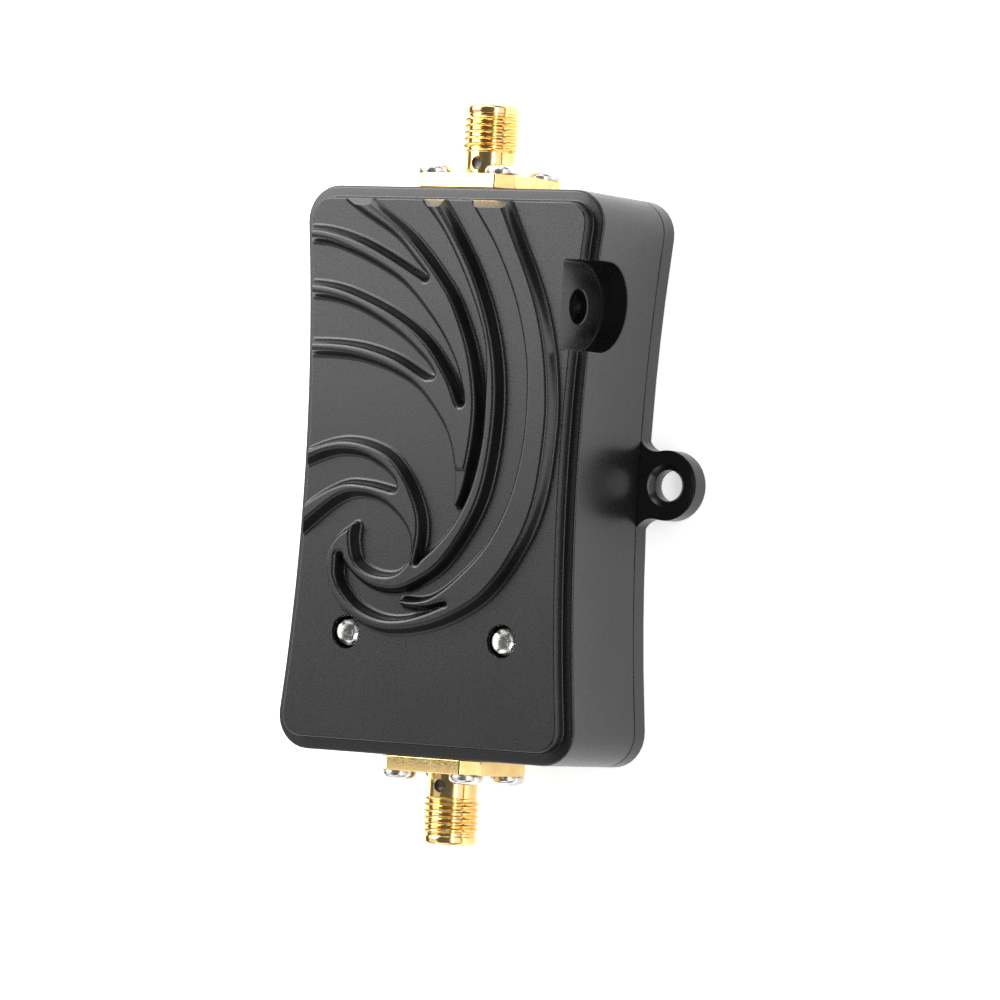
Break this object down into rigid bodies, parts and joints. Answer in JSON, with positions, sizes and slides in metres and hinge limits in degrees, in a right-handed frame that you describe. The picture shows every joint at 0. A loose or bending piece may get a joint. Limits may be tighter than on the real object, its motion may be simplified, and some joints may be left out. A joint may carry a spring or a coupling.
{
  "type": "cellular signal booster",
  "caption": "Inline cellular amplifier in a waisted cast housing with a ribbed swirl front, a threaded coaxial socket at each end, a side power socket and ear mounts.",
  "frame": {"origin": "centre of the back plate's flat back face", "axes": "+Z leaves the ribbed front; X runs across, towards the two ears; +Y runs along the housing to the antenna socket"},
  "size_m": [0.0496, 0.0812, 0.0182],
  "materials": {
    "housing": "satin black coating with a fine cast grain",
    "steel": "zinc-plated steel",
    "gold": "gold-plated brass",
    "nickel": "bright nickel",
    "fluoropolymer": "waxy white",
    "potting": "cured resin",
    "board": "solder mask",
    "pad": "soft matte",
    "black_plastic": "moulded",
    "tin": "tin plate",
    "spring": "spring bronze",
    "clear": "water-clear resin",
    "chip": "moulded epoxy",
    "ferrite": "sintered",
    "can": "bright sleeve-less can",
    "ceramic": "fired ceramic"
  },
  "bodies": {
    "case": {"housing": "housing", "base_plate": "housing", "base_screws": "steel", "antenna_socket": "gold", "antenna_insulator": "fluoropolymer", "antenna_contact": "gold", "antenna_potting": "potting", "antenna_screws": "nickel", "radio_socket": "gold", "radio_insulator": "fluoropolymer", "radio_contact": "gold", "radio_potting": "potting", "radio_screws": "nickel", "circuit_board": "board", "board_screws": "steel", "thermal_pad": "pad", "jack_body": "black_plastic", "jack_pin": "nickel", "jack_terminals": "tin", "power_lamp": "clear", "link_lamp": "clear", "lamp_leads": "tin", "shield_frame": "tin", "shield_lid": "tin", "power_amplifier": "chip", "low_noise_amplifier": "chip", "antenna_switch": "chip", "power_detector": "chip", "regulator": "chip", "power_inductor": "ferrite", "bulk_capacitors": "can", "chip_parts": "ceramic"},
    "sleeve_contact": {"jack_spring": "spring"}
  },
  "joints": [
    {"name": "sleeve_contact_flex", "type": "hinge", "parent": "case", "child": "sleeve_contact", "pos_m": [0.00585, 0.0186, 0.0107], "axis": [0, 1, 0], "range_deg": [0, 4], "stiffness_Nm_per_rad": 0.1}
  ]
}
